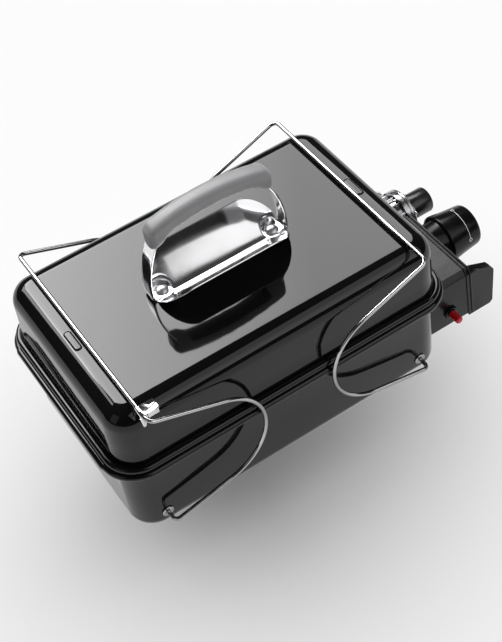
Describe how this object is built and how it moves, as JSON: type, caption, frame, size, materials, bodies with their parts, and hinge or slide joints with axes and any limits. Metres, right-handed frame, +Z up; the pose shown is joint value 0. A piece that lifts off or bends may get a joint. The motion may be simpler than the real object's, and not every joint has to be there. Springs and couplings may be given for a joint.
{
  "type": "portable gas grill",
  "caption": "Portable gas grill with enamelled bowl and lid, wire legs folded over the lid, arched grip on a bright shield, and a control box with knob, igniter and regulator.",
  "frame": {"origin": "centre of the bowl's flat floor, outside face", "axes": "+X along the grill towards the valve end, +Y to the back, +Z up"},
  "size_m": [0.5895, 0.31, 0.3265],
  "materials": {
    "enamel": "high gloss porcelain enamel",
    "bright_steel": "mirror plated sheet",
    "wire_chrome": "bright plated wire",
    "plain_steel": "plain zinc plated steel",
    "grip": "satin moulded grip",
    "box_black": "satin black moulding",
    "knob_black": "fine satin black",
    "red_plastic": "glossy translucent red",
    "brass": "machined",
    "cast_zinc": "bright cast",
    "ceramic": "glazed ceramic"
  },
  "bodies": {
    "grill": {"bowl": "enamel", "lid": "enamel", "handle_bracket": "bright_steel", "handle_grip": "grip", "handle_screws": "bright_steel", "handle_nuts": "plain_steel", "grate_ledges": "enamel", "cooking_grate": "plain_steel", "heat_plate": "plain_steel", "burner_tube": "plain_steel", "electrode_insulator": "ceramic", "electrode_rod": "plain_steel", "control_box": "box_black", "control_panel": "box_black", "box_screws": "plain_steel", "box_nuts": "plain_steel", "panel_screws": "plain_steel", "valve_body": "brass", "valve_screw": "plain_steel", "feed_pipe": "brass", "feed_nut": "brass", "regulator_body": "cast_zinc", "regulator_cover": "cast_zinc", "regulator_screws": "plain_steel", "inlet_nipple": "brass", "port_nut": "plain_steel", "port_plug": "brass", "igniter_body": "box_black", "igniter_nut": "box_black"},
    "control_knob": {"knob": "knob_black", "valve_stem": "brass"},
    "igniter_push": {"igniter_button": "red_plastic"},
    "dust_cap": {"inlet_cap": "knob_black"},
    "leg_left": {"left_leg": "wire_chrome", "left_washers": "plain_steel", "left_push_nuts": "plain_steel", "leg_clip": "bright_steel"},
    "leg_right": {"right_leg": "wire_chrome", "right_washers": "plain_steel", "right_push_nuts": "plain_steel"}
  },
  "joints": [
    {"name": "left_leg_fold", "type": "hinge", "parent": "grill", "child": "leg_left", "pos_m": [-0.181, 0, 0.026], "axis": [0, -1, 0], "range_deg": [0, 201.5]},
    {"name": "right_leg_fold", "type": "hinge", "parent": "grill", "child": "leg_right", "pos_m": [0.181, 0, 0.026], "axis": [0, 1, 0], "range_deg": [0, 201.5]},
    {"name": "knob_turn", "type": "hinge", "parent": "grill", "child": "control_knob", "pos_m": [0.3, -0.0106, 0.049], "axis": [1, 0, 0], "range_deg": [0, 100]},
    {"name": "igniter_press", "type": "slide", "parent": "grill", "child": "igniter_push", "axis": [0, 1, 0], "range_m": [0, 0.005], "stiffness_N_per_m": 900},
    {"name": "dust_cap_pull", "type": "slide", "parent": "grill", "child": "dust_cap", "axis": [1, 0, 0], "range_m": [0, 0.014]}
  ]
}
